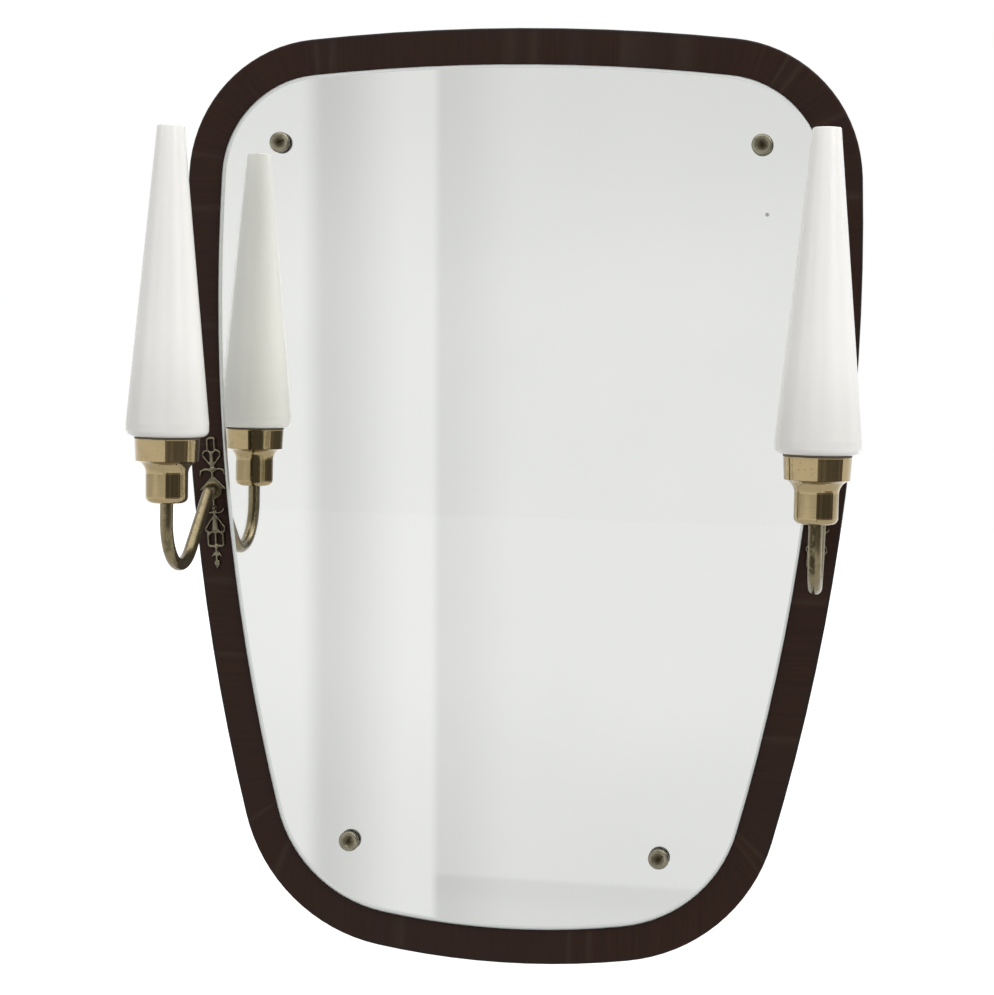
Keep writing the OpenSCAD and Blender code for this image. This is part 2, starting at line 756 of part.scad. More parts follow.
module cup(s) {
  low_r = cup_d / 2;
  ring_r = ring_low_d / 2;
  rim_out = ring_top_d / 2;
  cove_c = [low_r + cove_r, cup_h];
  outside = concat([[thread_d / 2 + thread_gap, 0]],
    arc([low_r - cup_corner_r, cup_corner_r], cup_corner_r, -90, 0, 8),
    arc(cove_c, cove_r, 180, 180 - cove_a, 10),
    [[ring_r, ring_z + ring_edge], [rim_out, rim_z - 2 * rim_r]],
    arc([rim_out - cup_t + rim_r, rim_z - rim_r], rim_r, -30, 90, 5));
  inner_a = acos(1 - (ring_r - low_r) / (cove_r + cup_t));
  inside = concat([[rim_out - cup_t, rim_z]],
    arc(cove_c, cove_r + cup_t, 180 - inner_a, 180, 10),
    arc([low_r - cup_corner_r, cup_corner_r], cup_corner_r - cup_t, 0, -90, 8),
    [[thread_d / 2 + thread_gap, cup_t]]);
  color(brass) on_cup(s) translate([0, 0, cup_z])
    rotate_extrude($fn = 128) polygon(concat(outside, inside));
}

module cup_nut(s) {
  color(steel) on_cup(s) translate([0, 0, cup_nut_z]) hex_nut(nut_h);
}

module seat_ring(s) {
  lip_r = ring_top_d / 2 - cup_t - lip_gap;
  edge_r = ring_top_d / 2 + seat_proud;
  color(rubber) on_cup(s) rotate_extrude($fn = 96) polygon([
    [seat_in_r, seat_z - seat_lip], [lip_r, seat_z - seat_lip], [lip_r, seat_z],
    [edge_r, seat_z], [edge_r, seat_z + seat_t], [seat_in_r, seat_z + seat_t]]);
}

module shade(s) {
  r = shade_d / 2;
  mouth_r = shade_top_d / 2;
  neck_r = neck_d / 2;
  flat_r = r - shoulder_r;
  color(opal) on_cup(s) translate([0, 0, shade_z]) rotate_extrude($fn = 128) polygon(concat(
    [[neck_r, -neck_l], [neck_r, 0]],
    arc([flat_r, shoulder_r], shoulder_r, -90, -10, 8),
    [[r, shoulder_z], [mouth_r, shade_h - lip_round], [mouth_r - lip_round, shade_h],
     [mouth_r - shade_t + lip_round, shade_h], [mouth_r - shade_t, shade_h - lip_round],
     [r - shade_t, shoulder_z]],
    arc([flat_r, shoulder_r], shoulder_r - shade_t, -10, -90, 8),
    [[neck_r - shade_t, shade_t], [neck_r - shade_t, -neck_l]]));
}

/* Lampholder and bulb */
module on_holder(s) {
  on_cup(s) translate([0, 0, holder_z]) children();
}

module lampholder(s) {
  body_r = holder_d / 2;
  shell_r = shell_in_r + shell_t + pin_gap;
  color(bakelite) on_holder(s) rotate_extrude($fn = 96) polygon([
    [thread_d / 2 + thread_gap, 0], [holder_foot_d / 2, 0], [holder_foot_d / 2, foot_h - foot_slope],
    [body_r, foot_h + body_round], [body_r, holder_h - body_round], [body_r - body_round, holder_h],
    [shell_r, holder_h],
    [shell_r, web_top], [arm_bore_d / 2, web_top], [arm_bore_d / 2, foot_h],
    [thread_d / 2 + thread_gap, foot_h]]);
}

module holder_shell(s) {
  color(brass) on_holder(s) translate([0, 0, shell_z]) difference() {
    cylinder(r = shell_in_r + shell_t, h = holder_h - shell_sink - shell_z);
    translate([0, 0, -through]) cylinder(r = shell_in_r, h = holder_h);
  }
}

module holder_contact(s) {
  color(brass) on_holder(s) translate([0, 0, web_top]) {
    cylinder(d = spring_d, h = spring_t);
    cylinder(d = button_d, h = contact_h);
  }
}

module bulb_cap(s) {
  color(steel) on_holder(s) translate([0, 0, cap_z]) rotate_extrude() polygon([
    [0, 0], [cap_tip_r, 0], [cap_tip_r + 1, cap_tip_h], [cap_d / 2, cap_shoulder_h], [cap_d / 2, cap_l],
    [cap_d / 2 - cap_wall, cap_l], [cap_d / 2 - cap_wall, cap_shoulder_h + 1], [0, cap_shoulder_h + 1]]);
}

module bulb_glass(s) {
  neck_r = cap_d / 2 - cap_wall - pin_gap;
  r = bulb_d / 2;
  neck_z = cap_l - bulb_seat_l;
  flare_z = holder_h + swell_gap - cap_z;
  swell_z = flare_z + bulb_neck_l;
  color(clear_glass) on_holder(s) translate([0, 0, cap_z]) rotate_extrude($fn = 96) polygon(concat(
    [[neck_r - glass_wall, neck_z], [neck_r, neck_z], [neck_r, flare_z], [r, swell_z]],
    arc([0, bulb_l - r], r, 0, 90, 12),
    arc([0, bulb_l - r], r - glass_wall, 90, 0, 12),
    [[r - glass_wall, swell_z], [neck_r - glass_wall, flare_z]]));
}

panel();
mirror_glass();
glass_rosettes();
glass_screws();
glass_sleeves();
hanger(-1);  // left_hanger
hanger(1);  // right_hanger
hanger_screws();
terminal_block();
terminal_screws();
block_screw();
backplate(-1);  // left_backplate
plate_pins(-1);  // left_plate_pins
arm(-1);  // left_arm
arm_washer(-1);  // left_arm_washer
arm_nut(-1);  // left_arm_nut
cup(-1);  // left_cup
cup_nut(-1);  // left_cup_nut
seat_ring(-1);  // left_seat_ring
lampholder(-1);  // left_lampholder
holder_shell(-1);  // left_holder_shell
holder_contact(-1);  // left_holder_contact
bulb_cap(-1);  // left_bulb_cap
bulb_glass(-1);  // left_bulb_glass
shade(-1);  // left_shade
backplate(1);  // right_backplate
plate_pins(1);  // right_plate_pins
arm(1);  // right_arm
arm_washer(1);  // right_arm_washer
arm_nut(1);  // right_arm_nut
cup(1);  // right_cup
cup_nut(1);  // right_cup_nut
seat_ring(1);  // right_seat_ring
lampholder(1);  // right_lampholder
holder_shell(1);  // right_holder_shell
holder_contact(1);  // right_holder_contact
bulb_cap(1);  // right_bulb_cap
bulb_glass(1);  // right_bulb_glass
shade(1);  // right_shade
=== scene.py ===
import math

import bmesh
import bpy
from mathutils import Matrix, Vector
from mathutils.bvhtree import BVHTree


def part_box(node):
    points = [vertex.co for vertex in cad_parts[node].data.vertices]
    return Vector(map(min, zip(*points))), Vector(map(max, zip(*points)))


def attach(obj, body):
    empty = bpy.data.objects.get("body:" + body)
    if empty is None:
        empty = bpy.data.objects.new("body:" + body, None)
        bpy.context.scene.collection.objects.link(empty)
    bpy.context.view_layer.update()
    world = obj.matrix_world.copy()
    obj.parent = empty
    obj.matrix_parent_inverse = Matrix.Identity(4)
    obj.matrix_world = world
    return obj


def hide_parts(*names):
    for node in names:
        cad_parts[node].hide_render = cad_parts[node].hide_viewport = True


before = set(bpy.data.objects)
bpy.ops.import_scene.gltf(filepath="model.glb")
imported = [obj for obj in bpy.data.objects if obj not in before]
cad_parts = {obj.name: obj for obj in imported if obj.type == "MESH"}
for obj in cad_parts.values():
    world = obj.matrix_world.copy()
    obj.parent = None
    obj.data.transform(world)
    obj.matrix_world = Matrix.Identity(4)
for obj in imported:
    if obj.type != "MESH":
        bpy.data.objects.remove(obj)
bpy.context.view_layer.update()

# Camera
# The mirror is seen from a little right of its middle and a little above it, 1.6 m from the wall.
# The camera was found from the places of some eighty points of the real piece.
camera_place = (0.26457, -1.61221, 0.10739)
camera_yaw = math.radians(9.7507)
camera_pitch = math.radians(-3.7026)
camera_roll = math.radians(-1.173)
camera_lens = 82.09

lens_data = bpy.data.cameras.new("camera")
lens_data.lens = camera_lens
lens_data.clip_start = 0.05
lens_data.clip_end = 60
camera = bpy.data.objects.new("camera", lens_data)
bpy.context.scene.collection.objects.link(camera)
camera_turn = (Matrix.Rotation(camera_yaw, 3, "Z") @ Matrix.Rotation(camera_pitch, 3, "X")
               @ Matrix.Rotation(camera_roll, 3, "Y") @ Matrix.Rotation(math.radians(90), 3, "X"))
camera.matrix_world = Matrix.Translation(camera_place) @ camera_turn.to_4x4()
bpy.context.scene.camera = camera
bpy.context.scene.view_settings.view_transform = "Standard"


# Light
# A white studio: an even pale surround, one large soft lamp high on the right, a weak one on the
# left and one behind. The last one lies on the mirror, for the light that the glass throws back.
surround_light = 0.76
surround_reflected = 0.95
middle = (0, 0, 0)


def connect(tree, socket, value):
    """Gives a socket a link or a value."""
    if isinstance(value, bpy.types.NodeSocket):
        tree.links.new(value, socket)
    elif isinstance(value, tuple) and len(value) == 3 and socket.type == "RGBA":
        socket.default_value = (*value, 1)
    else:
        socket.default_value = value


def put(tree, kind, sockets=None, **settings):
    """Adds a node with its settings, and fills its sockets by name or by place."""
    made = tree.nodes.new("ShaderNode" + kind)
    for key, value in settings.items():
        setattr(made, key, value)
    for key, value in (sockets or {}).items():
        connect(tree, made.inputs[key], value)
    return made


def calc(tree, operation, *terms):
    """One step of arithmetic."""
    made = put(tree, "Math", operation=operation)
    for socket, term in zip(made.inputs, terms):
        connect(tree, socket, term)
    return made.outputs[0]


world = bpy.data.worlds.new("studio")
bpy.context.scene.world = world
world.use_nodes = True
sky = world.node_tree
rays = put(sky, "LightPath")
seen_in_metal = calc(sky, "MAXIMUM", rays.outputs["Is Glossy Ray"], rays.outputs["Is Transmission Ray"])
level = calc(sky, "ADD", surround_light,
             calc(sky, "MULTIPLY", seen_in_metal, surround_reflected - surround_light))
level = calc(sky, "MAXIMUM", level, rays.outputs["Is Camera Ray"])
sky_colour = sky.nodes["Background"]
sky_colour.inputs["Color"].default_value = (1, 1, 1, 1)
connect(sky, sky_colour.inputs["Strength"], level)


def lamp(name, place, aim, width, height, watts):
    """A soft oblong lamp that shines from its place towards a point."""
    data = bpy.data.lights.new(name, "AREA")
    data.shape = "RECTANGLE"
    data.size = width
    data.size_y = height
    data.energy = watts
    made = bpy.data.objects.new(name, data)
    bpy.context.scene.collection.objects.link(made)
    made.location = place
    made.rotation_mode = "QUATERNION"
    made.rotation_quaternion = (Vector(aim) - Vector(place)).to_track_quat("-Z", "Y")
    made.visible_transmission = False
    return made


lamp("main_lamp", (2.1, -1.7, 1.4), middle, 1.6, 1.6, 40)
lamp("fill_lamp", (-2.1, -1.5, 0.5), middle, 1.2, 1.2, 3.5)
lamp("back_lamp", (0.4, 2.4, 1.5), middle, 1.6, 1.6, 20)
bounce = lamp("glass_bounce", (0, -0.026, 0), (0, -1, 0), 0.4, 0.56, 0.55)
bounce.visible_glossy = False
bounce.data.color = (1, 1, 0.93)


# Floor
# A plain pale floor, well below the piece, which hangs at eye level. It looks white to the camera
# but keeps the soft shadow that falls on it, and fades into the white surround farther off.
floor_z = -1.05
floor_half = 14
floor_white = (0.62, 0.62, 0.615)
floor_glow = 1.35
floor_share = 0.6
fade_from = 1.6
fade_to = 4.0


def new_finish(name):
    """A procedural material, its node tree and its main shader."""
    material = bpy.data.materials.new(name)
    material.use_nodes = True
    return material, material.node_tree, material.node_tree.nodes["Principled BSDF"]


def new_piece(name, vertices, faces):
    """A mesh object from its points and faces."""
    mesh = bpy.data.meshes.new(name)
    mesh.from_pydata(vertices, [], faces)
    mesh.update()
    made = bpy.data.objects.new(name, mesh)
    bpy.context.scene.collection.objects.link(made)
    return made


def slope(tree, value, start, end, low, high, kind="LINEAR"):
    """A value that goes from one level to another between two places."""
    return put(tree, "MapRange", {"Value": value, "From Min": start, "From Max": end, "To Min": low, "To Max": high},
               interpolation_type=kind).outputs[0]


floor = new_piece("floor", [(-floor_half, -floor_half, floor_z), (floor_half, -floor_half, floor_z),
                            (floor_half, floor_half, floor_z), (-floor_half, floor_half, floor_z)],
                  [(0, 1, 2, 3)])
floor_finish, tree, surface = new_finish("floor_paint")
surface.inputs["Base Color"].default_value = (*floor_white, 1)
surface.inputs["Roughness"].default_value = 0.9
rays = put(tree, "LightPath")
seen = calc(tree, "MAXIMUM", rays.outputs["Is Camera Ray"],
            calc(tree, "MAXIMUM", rays.outputs["Is Glossy Ray"], rays.outputs["Is Transmission Ray"]))
far = put(tree, "VectorMath", {0: put(tree, "TexCoord").outputs["Object"], 1: (0, 0, 0)}, operation="DISTANCE")
share = slope(tree, far.outputs["Value"], fade_from, fade_to, floor_share, 1.0)
glow = put(tree, "Emission", {"Color": (1, 1, 1), "Strength": floor_glow})
shown = put(tree, "MixShader", {0: calc(tree, "MULTIPLY", seen, share), 1: surface.outputs[0], 2: glow.outputs[0]})
tree.links.new(shown.outputs[0], tree.nodes["Material Output"].inputs["Surface"])
floor.data.materials.append(floor_finish)


# What the brass and the glass reflect
# The room in front of the piece, as plain cards that no camera sees. The brass shows its dark side
# on the right, with a few paler uprights, and a bright ceiling; the mirror shows a pale wall with
# two soft pilasters.
dark_tones = (0.11, 0.15, 0.26)
dark_warmth = (1, 0.93, 0.86)
first_stripes = (0.4, 0.5)
second_stripes = (0.56, 0.66)
paler_low = (-0.35, -1.1, 0.0, 0.35)
sky_strength = 2.8
room_y = -2.4
room_lean = 0.0155
room_pale = 0.875
room_right = 0.83
first_edge = (-0.785, -0.735, -0.575)
second_edge = (-0.543, -0.522, -0.37)
first_shade = 0.19
second_shade = 0.097
dado_z = -0.842
dado_shade = 0.045
dado_line = 0.03
dado_edge = (dado_z + 0.008, dado_z - 0.004)
dado_under = (dado_z - 0.02, dado_z - 0.06)
ceiling_shade = (0.15, 0.62, 0.0, 0.09)
skirting_shade = (-0.45, -0.8, 0.0, 0.067)


def card(name, centre, width, height, turn, in_metal, in_mirror, tilt=0):
    """A card, turned about the vertical, that shows only in metal or only in the mirror.

    Gives its node tree, the place on it across and up from its middle, and its light.
    """
    w, h = width / 2, height / 2
    made = new_piece(name, [(-w, 0, -h), (w, 0, -h), (w, 0, h), (-w, 0, h)], [(0, 1, 2, 3)])
    made.location = centre
    made.rotation_euler = (math.radians(tilt), 0, math.radians(turn))
    tone, tree, surface = new_finish(name + "_tone")
    tree.nodes.remove(surface)
    light = put(tree, "Emission", {"Color": (1, 1, 1)})
    tree.links.new(light.outputs[0], tree.nodes["Material Output"].inputs["Surface"])
    made.data.materials.append(tone)
    made.visible_camera = False
    made.visible_diffuse = False
    made.visible_shadow = False
    made.visible_glossy = in_metal
    made.visible_transmission = in_mirror
    spot = put(tree, "SeparateXYZ", {0: put(tree, "TexCoord").outputs["Object"]})
    return tree, spot.outputs[0], spot.outputs[2], light


def vector(tree, x, y, z):
    """Three numbers as one vector."""
    return put(tree, "CombineXYZ", {0: x, 1: y, 2: z}).outputs[0]


def ramp(tree, value, start, end, low=0.0, high=1.0):
    """A slope with soft ends."""
    return slope(tree, value, start, end, low, high, "SMOOTHSTEP")


def dark_card(name, centre, width, height, turn, stripes):
    """A dark card for the metal that shows only from its front, with soft upright stripes, paler low down."""
    tree, across, up, light = card(name, centre, width, height, turn, True, False)
    wave = put(tree, "TexNoise", {"Vector": vector(tree, across, 0.0, 0.0), "Scale": stripes, "Detail": 2.0}).outputs[0]
    low, mid, high = dark_tones
    tone = calc(tree, "ADD", ramp(tree, wave, *first_stripes, low, mid),
                ramp(tree, wave, *second_stripes, 0.0, high - mid))
    connect(tree, light.inputs["Strength"], calc(tree, "ADD", tone, ramp(tree, up, *paler_low)))
    connect(tree, light.inputs["Color"], dark_warmth)
    shown = put(tree, "MixShader", {0: put(tree, "NewGeometry").outputs["Backfacing"], 1: light.outputs[0],
                                    2: put(tree, "BsdfTransparent").outputs[0]})
    tree.links.new(shown.outputs[0], tree.nodes["Material Output"].inputs["Surface"])


dark_card("dark_side", (1.915, -1.64, 0.23), 4.92, 2.54, -127.15, 1.6)
dark_card("dark_in_glass", (-0.155, -0.0245, 0.05), 0.11, 0.4, 0, 30)

skylight = card("skylight", (0, -0.7, 2.4), 3.6, 3.0, 0, True, False, tilt=90)[3]
skylight.inputs["Strength"].default_value = sky_strength

tree, across, up, light = card("pale_room", (0, room_y, 0), 5, 4, 0, False, True)
along = calc(tree, "ADD", across, calc(tree, "MULTIPLY", up, room_lean))


def pilaster(edge, shade):
    """A soft shadow that starts at an upright edge and fades to the right."""
    return calc(tree, "MULTIPLY", ramp(tree, along, edge[0], edge[1]), ramp(tree, along, edge[1], edge[2], shade, 0.0))


right_part = ramp(tree, along, second_edge[0], second_edge[1])
wall = calc(tree, "SUBTRACT", room_pale, calc(tree, "MULTIPLY", right_part, room_pale - room_right))
wall = calc(tree, "SUBTRACT", wall, pilaster(first_edge, first_shade))
wall = calc(tree, "SUBTRACT", wall, pilaster(second_edge, second_shade))
wall = calc(tree, "SUBTRACT", wall, ramp(tree, up, *ceiling_shade))
wall = calc(tree, "SUBTRACT", wall, ramp(tree, up, *skirting_shade))
dado = calc(tree, "ADD", ramp(tree, up, *dado_edge, 0.0, dado_shade + dado_line),
            ramp(tree, up, *dado_under, 0.0, -dado_line))
wall = calc(tree, "SUBTRACT", wall, calc(tree, "MULTIPLY", right_part, dado))
connect(tree, light.inputs["Strength"], wall)


# Panel
# The board that carries everything: 16 mm plywood, veneered in very dark, close-grained red-brown
# wood. Round the glass the veneer is cross-banded, so its grain runs square to the edge.
half_height = 0.335
half_width = 0.2435
widest_z = 0.158
top_r = 1.5
side_r = 1.55
bottom_r = 0.585
core_x = 0.14
core_top = 0.232
core_bottom = -0.205
rim_r = 0.1
low_cuts_half = 0.04
high_cuts_x = 0.17
high_cuts_z = 0.24
deepest_cut = 0.0155
board_skin = 0.0004
cut_margin = 0.0045
corner_blend = 0.03
dark_edge_w = 0.0035
leaves_per_metre = 8.5
wood_tones = ((0.014, 0.0052, 0.0028), (0.021, 0.0078, 0.0041), (0.0275, 0.0108, 0.006))
leaf_brown = (0.0195, 0.0101, 0.0066)
figure_brown = (0.026, 0.0155, 0.0105)
patch_red = (0.0185, 0.0066, 0.0046)
joint_pale = (0.045, 0.031, 0.021)
edge_dark = (0.0088, 0.0088, 0.0078)


def paint(red, green, blue):
    """A colour from the 0 to 255 values of a screen, as light."""
    def channel(value):
        share = value / 255
        return share / 12.92 if share <= 0.04045 else ((share + 0.055) / 1.055) ** 2.4
    return channel(red), channel(green), channel(blue)


def blend(tree, share, first, second):
    """Two colours laid over each other."""
    return put(tree, "Mix", {0: share, 6: first, 7: second}, data_type="RGBA").outputs[2]


def place_on(tree):
    """Where a point lies on the object, as a vector and as its three parts, in metres."""
    spot = put(tree, "TexCoord").outputs["Object"]
    parts = put(tree, "SeparateXYZ", {0: spot})
    return spot, parts.outputs[0], parts.outputs[1], parts.outputs[2]


def stretch(tree, spot, x, y, z):
    """A vector stretched along each axis."""
    return put(tree, "VectorMath", {0: spot, 1: (x, y, z)}, operation="MULTIPLY").outputs[0]


def add_vectors(tree, first, second):
    """One vector laid on the end of another."""
    return put(tree, "VectorMath", {0: first, 1: second}, operation="ADD").outputs[0]


def cloud(tree, spot, scale, detail, roughness):
    """Soft noise from 0 to 1."""
    return put(tree, "TexNoise", {"Vector": spot, "Scale": scale, "Detail": detail,
                                  "Roughness": roughness}).outputs[0]


def steps(tree, value, *stops):
    """A value turned into another along a few stops, each a place and a level or a colour."""
    made = put(tree, "ValToRGB", {0: value})
    row = made.color_ramp.elements
    while len(row) < len(stops):
        row.new(0.5)
    for element, (place, level) in zip(row, stops):
        element.position = place
        element.color = (*level, 1) if isinstance(level, tuple) else (level, level, level, 1)
    return made.outputs[0]


def bump(tree, surface, height, strength, distance):
    """Relief of the given depth in metres on the main shader."""
    made = put(tree, "Bump", {"Height": height, "Strength": strength, "Distance": distance})
    tree.links.new(made.outputs[0], surface.inputs["Normal"])


def reach(tree, across, up):
    """How far a point is from another, from its distances across and up."""
    return calc(tree, "SQRT", calc(tree, "ADD", calc(tree, "MULTIPLY", across, across), calc(tree, "MULTIPLY", up, up)))


def dress(material, *names):
    """Gives pieces of the frame their finish."""
    for name in names:
        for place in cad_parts[name].material_slots:
            place.material = material


def facing(tree):
    """How far a face turns to the wall, from -1 to 1."""
    return put(tree, "SeparateXYZ", {0: put(tree, "NewGeometry").outputs["True Normal"]}).outputs[1]


veneer, tree, surface = new_finish("dark_crossbanded_veneer")
spot, x, y, z = place_on(tree)
foot_x = calc(tree, "MINIMUM", calc(tree, "MAXIMUM", x, -core_x), core_x)
foot_z = calc(tree, "MINIMUM", calc(tree, "MAXIMUM", z, core_bottom), core_top)
out_x = calc(tree, "SUBTRACT", x, foot_x)
out_z = calc(tree, "SUBTRACT", z, foot_z)
along = calc(tree, "SQRT", calc(tree, "ADD", calc(tree, "MULTIPLY", out_x, out_x),
                                calc(tree, "ADD", calc(tree, "MULTIPLY", out_z, out_z), 1e-8)))
ring = vector(tree, calc(tree, "ADD", foot_x, calc(tree, "DIVIDE", calc(tree, "MULTIPLY", out_x, rim_r), along)),
              0.0,
              calc(tree, "ADD", foot_z, calc(tree, "DIVIDE", calc(tree, "MULTIPLY", out_z, rim_r), along)))


def arc_depth(centre_x, centre_z, radius):
    """How far inside one of the outline's long arcs a point lies."""
    from_centre = reach(tree, calc(tree, "SUBTRACT", x, centre_x), calc(tree, "SUBTRACT", z, centre_z))
    return calc(tree, "SUBTRACT", radius, from_centre)


sides = calc(tree, "MINIMUM", arc_depth(half_width - side_r, widest_z, side_r),
             arc_depth(side_r - half_width, widest_z, side_r))
ends = calc(tree, "MINIMUM", arc_depth(0.0, half_height - top_r, top_r),
            arc_depth(0.0, bottom_r - half_height, bottom_r))
depth = calc(tree, "SMOOTH_MIN", sides, ends, corner_blend)

streak = cloud(tree, add_vectors(tree, ring, stretch(tree, spot, 0.06, 0, 0.06)), 330, 6, 0.62)
pore = cloud(tree, add_vectors(tree, ring, stretch(tree, spot, 0.03, 0, 0.03)), 1900, 2, 0.5)
figure = cloud(tree, ring, 38, 3, 0.55)
patch = cloud(tree, spot, 21, 2, 0.5)
leaves = put(tree, "TexVoronoi", {"Vector": ring, "Scale": leaves_per_metre}, feature="F1")
joints = put(tree, "TexVoronoi", {"Vector": ring, "Scale": leaves_per_metre}, feature="DISTANCE_TO_EDGE")
leaf_tone = put(tree, "SeparateColor", {0: leaves.outputs["Color"]}).outputs[0]

wood = steps(tree, streak, *zip((0.28, 0.5, 0.72), wood_tones))
wood = blend(tree, calc(tree, "MULTIPLY", leaf_tone, 0.35), wood, leaf_brown)
wood = blend(tree, steps(tree, figure, (0.62, 0.0), (0.76, 0.35)), wood, figure_brown)
wood = blend(tree, steps(tree, patch, (0.5, 0.0), (0.75, 0.5)), wood, patch_red)
wood = blend(tree, steps(tree, joints.outputs["Distance"], (0.0, 0.3), (0.018, 0.0)), wood, joint_pale)
wood = blend(tree, slope(tree, depth, 0.0, dark_edge_w, 0.75, 0.0), wood, edge_dark)

ply_grain = cloud(tree, stretch(tree, spot, 260, 0, 9), 1, 5, 0.6)
ply_face = steps(tree, ply_grain, (0.3, paint(128, 96, 62)), (0.5, paint(152, 118, 80)), (0.7, paint(172, 138, 98)))
stain = cloud(tree, spot, 9, 4, 0.6)
ply_face = blend(tree, steps(tree, stain, (0.52, 0.0), (0.7, 0.4)), ply_face, paint(92, 66, 42))
ply_face = blend(tree, slope(tree, depth, 0.002, 0.014, 0.85, 0.0), ply_face, paint(58, 38, 27))
layer = put(tree, "TexWave", {"Vector": stretch(tree, spot, 0, 1, 0), "Scale": 105, "Distortion": 0.0},
            wave_type="BANDS", bands_direction="Y").outputs["Fac"]
ply_core = steps(tree, layer, (0.35, paint(96, 68, 42)), (0.6, paint(150, 116, 78)))
faces_back = calc(tree, "GREATER_THAN", facing(tree), 0.6)
behind = calc(tree, "GREATER_THAN", y, -board_skin)
well_inside = calc(tree, "GREATER_THAN", depth, cut_margin)
board = blend(tree, calc(tree, "MULTIPLY", faces_back, behind), blend(tree, faces_back, ply_core, ply_face), ply_face)
low_cuts = calc(tree, "LESS_THAN", calc(tree, "ABSOLUTE", z), low_cuts_half)
high_cuts = calc(tree, "MULTIPLY", calc(tree, "LESS_THAN", calc(tree, "ABSOLUTE", x), high_cuts_x),
                 calc(tree, "LESS_THAN", calc(tree, "ABSOLUTE", calc(tree, "SUBTRACT", z, high_cuts_z)), low_cuts_half))
inside_cut = calc(tree, "MULTIPLY", calc(tree, "MAXIMUM", low_cuts, high_cuts),
                  calc(tree, "MULTIPLY", well_inside, calc(tree, "GREATER_THAN", y, -deepest_cut)))
is_board = calc(tree, "MAXIMUM", inside_cut, calc(tree, "MULTIPLY", faces_back, behind))
tree.links.new(blend(tree, is_board, wood, board), surface.inputs["Base Color"])
gloss = calc(tree, "ADD", 0.36, calc(tree, "MULTIPLY", streak, 0.16))
tree.links.new(put(tree, "Mix", {0: is_board, 2: gloss, 3: 0.78}).outputs[0], surface.inputs["Roughness"])
surface.inputs["Specular IOR Level"].default_value = 0.13
relief = put(tree, "Mix", {0: is_board, 2: calc(tree, "ADD", streak, calc(tree, "MULTIPLY", pore, 0.5)),
                           3: ply_grain}).outputs[0]
bump(tree, surface, relief, 0.35, 0.0001)
dress(veneer, "panel")


# Mirror glass
# One sheet of 4 mm float glass with a ground and polished edge and four drilled holes.
# It is silvered behind and painted over; the silver starts a hair inside the edge and has one
# small dark fleck.
silver_gap = 0.00006
silver_t = 0.00006
silver_inset = 0.9982
spot_x = 0.177
spot_z = 0.2055
spot_r = 0.0018
clear_glass = (0.98, 0.988, 0.972)
ground_edge_and_shade = (0.25, 0.29, 0.28)
dark_fleck = (0.25, 0.26, 0.25)

glass, tree, surface = new_finish("float_glass")
surface.inputs["Transmission Weight"].default_value = 1.0
surface.inputs["IOR"].default_value = 1.52
dust = cloud(tree, place_on(tree)[0], 60, 4, 0.6)
# The edge faces are tinted dark grey-green: the ground edge's own tone, darkened further as painted shade where the
# edge meets the wood.
ground = ramp(tree, calc(tree, "ABSOLUTE", facing(tree)), 0.8, 0.95, 1.0, 0.0)
tree.links.new(blend(tree, ground, clear_glass, ground_edge_and_shade), surface.inputs["Base Color"])
tree.links.new(calc(tree, "MAXIMUM", calc(tree, "MULTIPLY", ground, 0.6), steps(tree, dust, (0.5, 0.0), (0.85, 0.02))),
               surface.inputs["Roughness"])
dress(glass, "mirror_glass")

back_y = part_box("mirror_glass")[1].y
coat = bmesh.new()
coat.from_mesh(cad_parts["mirror_glass"].data)
off_the_back = [face for face in coat.faces if abs(face.calc_center_median().y - back_y) > 1e-5
                or abs(face.normal.y) < 0.9]
bmesh.ops.delete(coat, geom=off_the_back, context="FACES")
bmesh.ops.remove_doubles(coat, verts=coat.verts[:], dist=1e-6)
for vertex in coat.verts:
    vertex.co = Vector((vertex.co.x * silver_inset, back_y - silver_gap, vertex.co.z * silver_inset))
front = bmesh.ops.extrude_face_region(coat, geom=coat.faces[:])["geom"]
for vertex in (item for item in front if isinstance(item, bmesh.types.BMVert)):
    vertex.co.y -= silver_t
bmesh.ops.recalc_face_normals(coat, faces=coat.faces[:])
coat.verts.index_update()
# Extruding leaves the faces in no set order, so they are put in one.
in_order = sorted(coat.faces, key=lambda face: sorted(vertex.index for vertex in face.verts))
for place, face in enumerate(in_order):
    face.index = place
coat.faces.sort()
silver_mesh = bpy.data.meshes.new("silver_coat")
coat.to_mesh(silver_mesh)
coat.free()
silver_coat = bpy.data.objects.new("silver_coat", silver_mesh)
bpy.context.scene.collection.objects.link(silver_coat)

silver, tree, surface = new_finish("silvering")
surface.inputs["Metallic"].default_value = 1.0
spot = place_on(tree)[0]
haze = cloud(tree, spot, 7, 3, 0.5)
tone = steps(tree, haze, (0.35, (0.93, 0.935, 0.925)), (0.65, (0.955, 0.957, 0.95)))
off = put(tree, "VectorMath", {0: spot, 1: (spot_x, back_y, spot_z)}, operation="DISTANCE").outputs["Value"]
tree.links.new(blend(tree, slope(tree, off, spot_r / 2, spot_r, 0.8, 0.0), tone, dark_fleck),
               surface.inputs["Base Color"])
surface.inputs["Roughness"].default_value = 0.0
silver_mesh.materials.append(silver)
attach(silver_coat, "wall_part")


# Brass fittings
# Turned, bent, spun and sawn brass, once polished and since tarnished: golden where hands and
# cloths reach, olive and brown in the hollows, with small dark pits.
mm = 0.001
sconce_x = 219.8 * mm
cup_y = -126 * mm
thread_pitch = 2.8 * mm
pits_per_metre = 420
relief_depth = 0.00012


def no_change(tree, colour):
    """Leaves a colour as it is."""
    return colour


